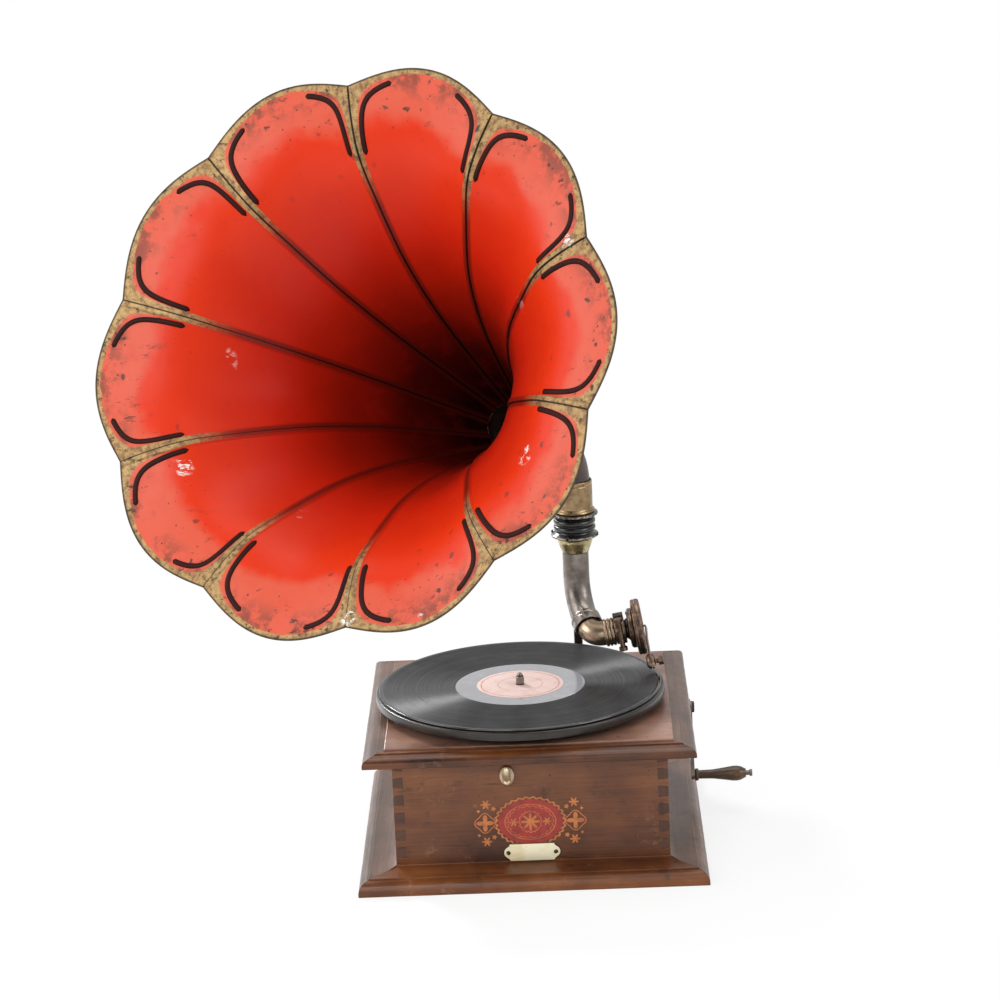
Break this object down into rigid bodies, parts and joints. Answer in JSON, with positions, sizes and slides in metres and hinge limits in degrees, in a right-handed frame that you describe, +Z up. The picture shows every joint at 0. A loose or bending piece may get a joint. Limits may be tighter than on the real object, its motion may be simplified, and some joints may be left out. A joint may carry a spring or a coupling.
{
  "type": "horn gramophone",
  "caption": "Wind-up disc player: moulded wooden case, turntable, swinging tone arm and a large scalloped flower horn on a rear bracket, with a side winding crank.",
  "frame": {"origin": "centre of the plinth's underside, where the object rests", "axes": "+Z up, -Y towards the front with the start lever, +X towards the winding crank"},
  "size_m": [0.5401, 0.5515, 0.713],
  "materials": {
    "walnut": "oiled walnut with worn edges",
    "plywood": "bare softwood",
    "handle_wood": "turned and stained beech",
    "black_iron": "black enamel on iron",
    "grey_steel": "tarnished steel",
    "aged_brass": "aged nickel-plated brass",
    "motor_brass": "machined brass",
    "lever_brass": "polished brass",
    "bronze": "dark bronze",
    "mica": "split mica sheet",
    "shellac": "pressed shellac disc",
    "red_paint": "red lacquer on sheet steel with a gilt margin",
    "brown_paint": "brown lacquer on sheet steel"
  },
  "bodies": {
    "case": {"bottom_board": "plywood", "plinth_front": "walnut", "plinth_back": "walnut", "plinth_left": "walnut", "plinth_right": "walnut", "case_front": "walnut", "case_back": "walnut", "case_left": "walnut", "case_right": "walnut", "lid_front": "walnut", "lid_back": "walnut", "lid_left": "walnut", "lid_right": "walnut", "top_board": "walnut", "crank_escutcheon": "aged_brass", "start_lever_rosette": "lever_brass", "motor_plate": "grey_steel", "motor_frame": "grey_steel", "horn_bracket": "black_iron", "bracket_ring": "black_iron"},
    "turntable": {"turntable": "black_iron", "record": "shellac", "spindle": "grey_steel"},
    "second_arbor": {"second_arbor": "motor_brass"},
    "spring_barrel": {"spring_barrel": "motor_brass", "mainspring": "grey_steel"},
    "governor": {"governor_shaft": "motor_brass", "governor_balls": "motor_brass"},
    "crank": {"crank_shaft": "grey_steel", "crank_arm": "grey_steel"},
    "crank_grip": {"crank_handle": "handle_wood"},
    "winding_arbor": {"winding_arbor": "grey_steel"},
    "click": {"ratchet_click": "grey_steel"},
    "start_lever": {"start_lever": "lever_brass", "brake_rod": "grey_steel"},
    "tonearm": {"arm_cup": "aged_brass", "arm_tube": "grey_steel", "arm_band": "grey_steel"},
    "soundbox": {"arm_elbow": "aged_brass", "soundbox_fork": "aged_brass", "soundbox_back": "bronze", "soundbox_body": "bronze", "diaphragm": "mica", "stylus_lever": "grey_steel", "needle_chuck": "bronze", "needle": "grey_steel"},
    "needle_screw": {"needle_screw": "aged_brass"},
    "horn": {"horn_petal_1": "red_paint", "horn_petal_2": "red_paint", "horn_petal_3": "red_paint", "horn_petal_4": "red_paint", "horn_petal_5": "red_paint", "horn_petal_6": "red_paint", "horn_petal_7": "red_paint", "horn_petal_8": "red_paint", "horn_petal_9": "red_paint", "horn_petal_10": "red_paint", "horn_throat": "brown_paint", "horn_elbow": "brown_paint", "horn_collar": "aged_brass"}
  },
  "joints": [
    {"name": "turntable_spin", "type": "hinge", "parent": "case", "child": "turntable", "pos_m": [-0.007, -0.006, 0.13], "axis": [0, 0, 1], "continuous": true},
    {"name": "second_arbor_spin", "type": "hinge", "parent": "case", "child": "second_arbor", "pos_m": [0.03351, 0.0158, 0.06], "axis": [0, 0, 1], "continuous": true},
    {"name": "barrel_spin", "type": "hinge", "parent": "case", "child": "spring_barrel", "pos_m": [0.05, 0.063, 0.05], "axis": [0, 0, 1], "continuous": true},
    {"name": "governor_spin", "type": "hinge", "parent": "case", "child": "governor", "pos_m": [0.03, -0.0253, 0.045], "axis": [1, 0, 0], "continuous": true},
    {"name": "crank_turn", "type": "hinge", "parent": "case", "child": "crank", "pos_m": [0.12, 0.063, 0.09], "axis": [1, 0, 0], "continuous": true},
    {"name": "winding_arbor_turn", "type": "hinge", "parent": "case", "child": "winding_arbor", "pos_m": [0.05, 0.063, 0.06], "axis": [0, 0, 1], "continuous": true},
    {"name": "handle_spin", "type": "hinge", "parent": "crank", "child": "crank_grip", "pos_m": [0.17, 0.03582, 0.03427], "axis": [1, 0, 0], "continuous": true},
    {"name": "click_pivot", "type": "hinge", "parent": "case", "child": "click", "pos_m": [0.023, 0.0775, 0.08], "axis": [0, 0, -1], "range_deg": [0, 12]},
    {"name": "start_lever_turn", "type": "hinge", "parent": "case", "child": "start_lever", "pos_m": [-0.02, -0.118, 0.098], "axis": [0, -1, 0], "range_deg": [0, 12]},
    {"name": "tonearm_swing", "type": "hinge", "parent": "case", "child": "tonearm", "pos_m": [0.0465, 0.08, 0.25], "axis": [0, 0, 1], "range_deg": [-41, 20]},
    {"name": "soundbox_lift", "type": "hinge", "parent": "tonearm", "child": "soundbox", "pos_m": [0.05599, 0.05097, 0.17416], "axis": [0.2816, -0.8615, -0.4226], "range_deg": [0, 80]},
    {"name": "needle_screw_turn", "type": "hinge", "parent": "soundbox", "child": "needle_screw", "pos_m": [0.11028, 0.01957, 0.14824], "axis": [0.9877, 0, 0.1564], "range_deg": [0, 180]},
    {"name": "horn_turn", "type": "hinge", "parent": "case", "child": "horn", "pos_m": [0.0465, 0.08, 0.29], "axis": [0, 0, 1], "continuous": true}
  ],
  "couplings": [
    {"joint": "second_arbor_spin", "follows": "turntable_spin", "ratio": -0.25},
    {"joint": "barrel_spin", "follows": "turntable_spin", "ratio": 0.0625},
    {"joint": "governor_spin", "follows": "turntable_spin", "ratio": 8},
    {"joint": "winding_arbor_turn", "follows": "crank_turn", "ratio": 0.4}
  ]
}
